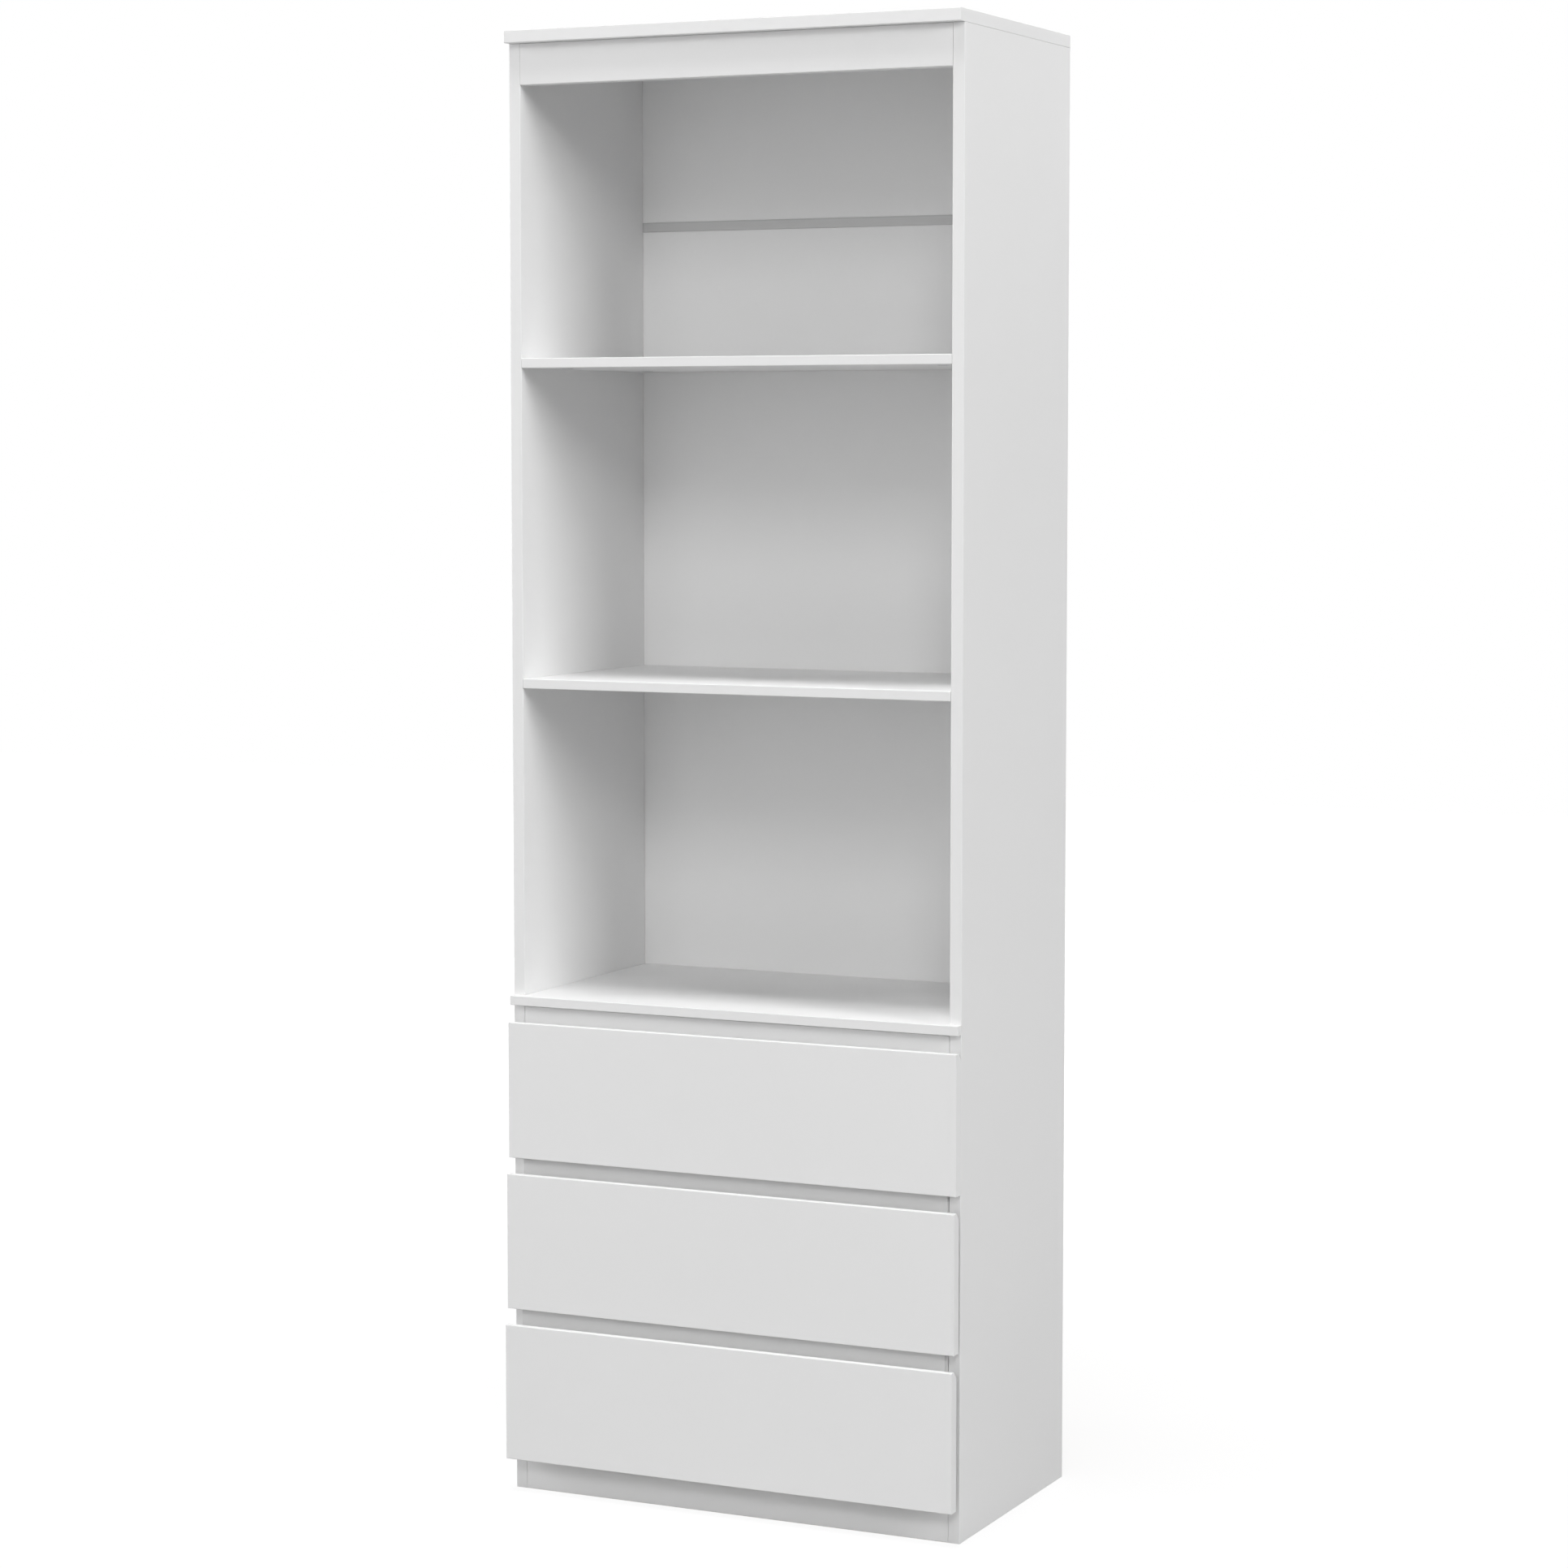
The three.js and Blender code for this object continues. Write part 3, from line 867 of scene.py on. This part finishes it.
class FitSlideScrews(bpy.types.Operator):
    """Puts a flat-headed screw in each round hole of the slides"""

    bl_idname = "bookcase.fit_slide_screws"
    bl_label = "Slide screws"

    hole_shares = (0.12, 0.5, 0.88)
    sheet = 0.0012
    recess_arm_share = 0.55
    cabinet_head_rise = 0.0005
    cabinet_recess = 0.0004
    drawer_head_rise = 0.0014
    drawer_recess = 0.001

    # The screws were driven by hand, so each cross stands at an angle of its own, in radians
    turn_step = 0.7
    drawer_turn = 0.4

    def execute(self, context):
        radius = context.scene.bookcase_sizes.slide_screw_radius
        zinc = bpy.data.materials["zinc_plate"]
        for name in DRAWERS:
            fixed, moving = [], []
            for hand in HANDS:
                sideways = (RIGHTWARD, LEFTWARD) if hand == "left" else (LEFTWARD, RIGHTWARD)
                inward, outward = sideways
                cabinet_low, cabinet_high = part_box(f"{name}_slide_cabinet_member_{hand}")
                drawer_low, drawer_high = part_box(f"{name}_slide_drawer_member_{hand}")
                cabinet_web = self.web_face(cabinet_low, cabinet_high, outward)
                drawer_web = self.web_face(drawer_low, drawer_high, inward)
                middle = (cabinet_low.z + cabinet_high.z) / 2
                length = cabinet_high.y - cabinet_low.y
                for number, share in enumerate(self.hole_shares):
                    along = share * length
                    turn = self.turn_step * number
                    fixed_point = (cabinet_web, cabinet_low.y + along, middle)
                    moving_point = (drawer_web, drawer_low.y + along, middle)
                    fixed.append(facing_place(fixed_point, inward, turn))
                    moving.append(facing_place(moving_point, outward, turn + self.drawer_turn))
            arm = radius * self.recess_arm_share
            flat = recessed_head(radius, self.cabinet_head_rise, arm, self.cabinet_recess)
            pan = recessed_head(radius, self.drawer_head_rise, arm, self.drawer_recess)
            body = f"{name}_drawer"
            fastenings(f"{name}_slide_cabinet_screws", flat, fixed, "cabinet", zinc)
            fastenings(f"{name}_slide_drawer_screws", pan, moving, body, zinc)
        return {"FINISHED"}

    def web_face(self, low, high, side):
        """The inner face of the web that stands on one side of a slide member."""
        return high.x - self.sheet if side[0] > 0 else low.x + self.sheet


class FitDrawerScrews(bpy.types.Operator):
    """Screws each drawer's front on from inside, and its box sides to the box back"""

    bl_idname = "bookcase.fit_drawer_screws"
    bl_label = "Drawer screws"

    front_width_share = 0.32
    front_height_shares = (0.33, 0.8)
    front_head_rise = 0.0022
    front_recess = 0.0014
    front_recess_arm = 0.0023
    first_turn = 0.5
    box_height_shares = (0.19, 0.82)
    box_head_rise = 0.0003
    box_recess = 0.00025
    box_recess_arm = 0.0019

    def execute(self, context):
        sizes = context.scene.bookcase_sizes
        zinc = bpy.data.materials["zinc_plate"]
        for name in DRAWERS:
            low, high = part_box(f"{name}_drawer_inner_front")
            reach = self.front_width_share * (high.x - low.x)
            places = []
            for number, x in enumerate((-reach, reach)):
                for share in self.front_height_shares:
                    point = (x, high.y, low.z + share * (high.z - low.z))
                    turn = self.first_turn + number + share
                    places.append(facing_place(point, REARWARD, turn))
            radius = sizes.pan_head_radius
            pan = recessed_head(radius, self.front_head_rise, self.front_recess_arm, self.front_recess)
            body = f"{name}_drawer"
            fastenings(f"{name}_front_screws", pan, places, body, zinc)
            back_low, back_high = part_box(f"{name}_drawer_back")
            places = []
            for hand, outward in zip(HANDS, (LEFTWARD, RIGHTWARD)):
                low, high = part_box(f"{name}_drawer_side_{hand}")
                face = low.x if hand == "left" else high.x
                middle = (back_low.y + back_high.y) / 2
                for share in self.box_height_shares:
                    point = (face, middle, low.z + share * (high.z - low.z))
                    places.append(facing_place(point, outward, share))
            radius = sizes.box_screw_radius
            flat = recessed_head(radius, self.box_head_rise, self.box_recess_arm, self.box_recess)
            fastenings(f"{name}_box_screws", flat, places, body, zinc)
        return {"FINISHED"}


class FitCams(bpy.types.Operator):
    """Lets the cam fittings into the undersides of the shelves and of the counter"""

    bl_idname = "bookcase.fit_cams"
    bl_label = "Cam fittings"

    end_distance = 0.034
    edge_distance = 0.055
    rise = 0.0003
    recess = 0.0002
    recess_arm_share = 0.5
    steps = 36
    depth_turn = 3
    colour = (0.5, 0.51, 0.52)
    roughness = 0.45

    def execute(self, context):
        radius = context.scene.bookcase_sizes.cam_radius
        cabinet_low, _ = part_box("side_panel_left")
        inner_low, inner_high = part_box("shelf_upper")
        arm = radius * self.recess_arm_share
        cast = rolled_steel("cast_zinc", self.colour, self.roughness)
        for board in ("shelf_upper", "shelf_lower", "counter_board"):
            low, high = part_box(board)
            places = []
            for x in (inner_low.x + self.end_distance, inner_high.x - self.end_distance):
                for y in (cabinet_low.y + self.edge_distance, high.y - self.edge_distance):
                    turn = x + self.depth_turn * y
                    places.append(facing_place((x, y, low.z), DOWNWARD, turn))
            cam = recessed_head(radius, self.rise, arm, self.recess, self.steps)
            fastenings(f"{board}_cams", cam, places, "cabinet", cast)
        return {"FINISHED"}


class FitPins(bpy.types.Operator):
    """Pins the back panels to the shelves, and each drawer's bottom to its box back"""

    bl_idname = "bookcase.fit_pins"
    bl_label = "Pins"

    end_distance = 0.045
    rise = 0.0006
    crown_share = 0.85
    steps = 14

    def pin(self, radius):
        crown = radius * self.crown_share
        edge = [(radius, 0), (radius, self.rise / 2), (crown, self.rise)]
        return turned([(0, 0), *edge, (0, self.rise)], self.steps)

    def row(self, low, high, pitch):
        """Places along X from end to end, about a pitch apart."""
        start, end = low.x + self.end_distance, high.x - self.end_distance
        return spread(start, end, 1 + round((end - start) / pitch))

    def execute(self, context):
        sizes = context.scene.bookcase_sizes
        zinc = bpy.data.materials["zinc_plate"]
        _, back_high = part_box("back_panel_lower")
        row = self.row(*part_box("shelf_upper"), sizes.pin_pitch)
        places = []
        for board in FLAT_BOARDS:
            low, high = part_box(board)
            middle = (low.z + high.z) / 2
            places += [facing_place((x, back_high.y, middle), REARWARD) for x in row]
        pin = self.pin(sizes.pin_radius)
        fastenings("back_pins", pin, places, "cabinet", zinc)
        for name in DRAWERS:
            low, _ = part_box(f"{name}_drawer_bottom")
            back_low, back_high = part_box(f"{name}_drawer_back")
            middle = (back_low.y + back_high.y) / 2
            row = self.row(back_low, back_high, sizes.pin_pitch)
            places = [facing_place((x, middle, low.z), DOWNWARD) for x in row]
            pin = self.pin(sizes.pin_radius)
            fastenings(f"{name}_bottom_pins", pin, places, f"{name}_drawer", zinc)
        return {"FINISHED"}


class PolishBalls(bpy.types.Operator):
    """Fits a polished ball round each of the frame's plain ones"""

    bl_idname = "bookcase.polish_balls"
    bl_label = "Slide balls"

    # Each ball is a shade larger than the one inside it, and stands in the cage's row
    radius = 0.00226
    row_inset = 0.00209
    count = 5
    bands = 8
    steps = 14
    colour = (0.78, 0.79, 0.8)
    roughness = 0.12

    def execute(self, context):
        chrome = rolled_steel("ball_steel", self.colour, self.roughness)
        for name in DRAWERS:
            places = []
            for hand in HANDS:
                low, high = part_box(f"{name}_slide_ball_cage_{hand}")
                middle_x = high.x - self.row_inset if hand == "left" else low.x + self.row_inset
                pitch = (high.y - low.y) / self.count
                for number in range(self.count):
                    y = low.y + (number + 0.5) * pitch
                    for z in (low.z + self.row_inset, high.z - self.row_inset):
                        places.append(Matrix.Translation((middle_x, y, z)))
            bands = range(1, self.bands)
            angles = [math.pi * band / self.bands - math.pi / 2 for band in bands]
            arc = [(self.radius * math.cos(a), self.radius * math.sin(a)) for a in angles]
            ball = turned([(0, -self.radius), *arc, (0, self.radius)], self.steps)
            fastenings(f"{name}_balls", ball, places, f"{name}_ball_cages", chrome)
        return {"FINISHED"}


# Studio


class BuildStudio(bpy.types.Operator):
    """Sets up the floor, the light and the camera"""

    bl_idname = "bookcase.build_studio"
    bl_label = "Studio"

    # Each lamp's turn to the right of straight in front, its rise above level, and its size
    lamps = {
        "right": (75.5, 22, 2.3),
        "left": (-75, 15, 3.9),
        "high": (0, 77, 2.2),
        "front": (25, 31, 1.9),
        "low": (0, 12, 3.9),
        "rear": (180, 15, 2),
    }
    lamp_distance = 8
    aim = Vector((0, 0, 0.9))
    sensor_width = 36

    # The floor lies a hair under the bookcase. Its shadow is drawn with a share of the light that
    # falls on it and fades out between two distances, and another share is thrown back up.
    floor_half = 9
    floor_depth = 0.0005
    shadow_ends = (1.0, 3.0)
    shadow_share = 0.12
    bounce_share = 0.4

    def execute(self, context):
        settings = context.scene.bookcase_studio
        self.make_camera(context.scene, settings)
        self.make_floor()
        self.make_world(context.scene, settings.ambient)
        for name in self.lamps:
            self.make_lamp(name, getattr(settings, f"{name}_power"))
        context.scene.view_settings.view_transform = "Standard"
        return {"FINISHED"}

    def make_camera(self, scene, settings):
        data = bpy.data.cameras.new("camera")
        data.sensor_width = self.sensor_width
        data.lens = settings.lens
        data.shift_y = settings.lens_rise
        camera = bpy.data.objects.new("camera", data)
        camera.location = settings.camera_place
        camera.rotation_euler = (math.pi / 2 - settings.camera_dip, 0, settings.camera_yaw)
        scene.collection.objects.link(camera)
        scene.camera = camera

    def make_floor(self):
        """A floor that shows white, keeps the bookcase's shadow and fades into the background."""
        half = self.floor_half
        mesh = bpy.data.meshes.new("studio_floor")
        corners = [(-half, -half, 0), (half, -half, 0), (half, half, 0), (-half, half, 0)]
        mesh.from_pydata(corners, [], [(0, 1, 2, 3)])
        floor = bpy.data.objects.new("studio_floor", mesh)
        floor.location.z = -self.floor_depth
        bpy.context.scene.collection.objects.link(floor)
        material, graph = new_graph("studio_floor")
        seen = seen_directly(graph)
        distance = graph.length(graph.place())
        near, far = [end / half for end in self.shadow_ends]
        glow = graph.ramp(distance * (1 / half), [(near, 1 - self.shadow_share), (far, 1)])
        inputs = {
            "Base Color": graph.blend(seen, grey(self.bounce_share), grey(self.shadow_share)),
            "Roughness": 1,
            "Specular IOR Level": 0,
            "Emission Color": graph.blend(seen, grey(0), glow),
            "Emission Strength": 1,
        }
        graph.surface(inputs)
        mesh.materials.append(material)

    def make_world(self, scene, ambient):
        """White where it is seen, and otherwise a faint light from all round."""
        world = bpy.data.worlds.new("studio_world")
        world.use_nodes = True
        scene.world = world
        graph = Graph(world.node_tree)
        seen = seen_directly(graph)
        inputs = {"Color": grey(1), "Strength": seen + (1 - seen) * ambient}
        background = graph.node("ShaderNodeBackground", {}, inputs)
        graph.node("ShaderNodeOutputWorld", {}, {"Surface": background})

    def make_lamp(self, name, power):
        turn, rise, size = self.lamps[name]
        turn, rise = math.radians(turn), math.radians(rise)
        level = Vector((math.sin(turn), -math.cos(turn), 0)) * math.cos(rise)
        direction = level + Vector((0, 0, math.sin(rise)))
        data = bpy.data.lights.new(f"{name}_lamp", "AREA")
        data.shape = "SQUARE"
        data.size = size
        data.energy = power
        lamp = bpy.data.objects.new(f"{name}_lamp", data)
        lamp.location = self.aim + direction * self.lamp_distance
        lamp.rotation_euler = direction.to_track_quat("Z", "Y").to_euler()
        bpy.context.scene.collection.objects.link(lamp)


# Panel and registration


OPERATORS = (
    DressCabinet,
    DressBack,
    DressDrawers,
    DressSlides,
    FitSlideScrews,
    FitDrawerScrews,
    FitCams,
    FitPins,
    PolishBalls,
    BuildStudio,
)


class BookcasePanel(bpy.types.Panel):
    """Lists the bookcase's groups of pieces"""

    bl_idname = "VIEW3D_PT_bookcase"
    bl_label = "Bookcase"
    bl_space_type = "VIEW_3D"
    bl_region_type = "UI"
    bl_category = "Bookcase"

    def draw(self, context):
        for operator in OPERATORS:
            self.layout.operator(operator.bl_idname)
        for group in SETTINGS:
            settings = getattr(context.scene, group)
            box = self.layout.box()
            for name in settings.__annotations__:
                box.prop(settings, name)


SETTINGS = {
    "bookcase_finishes": FinishSettings,
    "bookcase_sizes": SizeSettings,
    "bookcase_studio": StudioSettings,
}
CLASSES = (*SETTINGS.values(), *OPERATORS, BookcasePanel)


def register():
    for made in CLASSES:
        bpy.utils.register_class(made)
    for name, group in SETTINGS.items():
        setattr(bpy.types.Scene, name, bpy.props.PointerProperty(type=group))


def unregister():
    for name in SETTINGS:
        delattr(bpy.types.Scene, name)
    for made in reversed(CLASSES):
        bpy.utils.unregister_class(made)


def main():
    register()
    for operator in OPERATORS:
        group, name = operator.bl_idname.split(".")
        getattr(getattr(bpy.ops, group), name)()


if __name__ == "__main__":
    main()
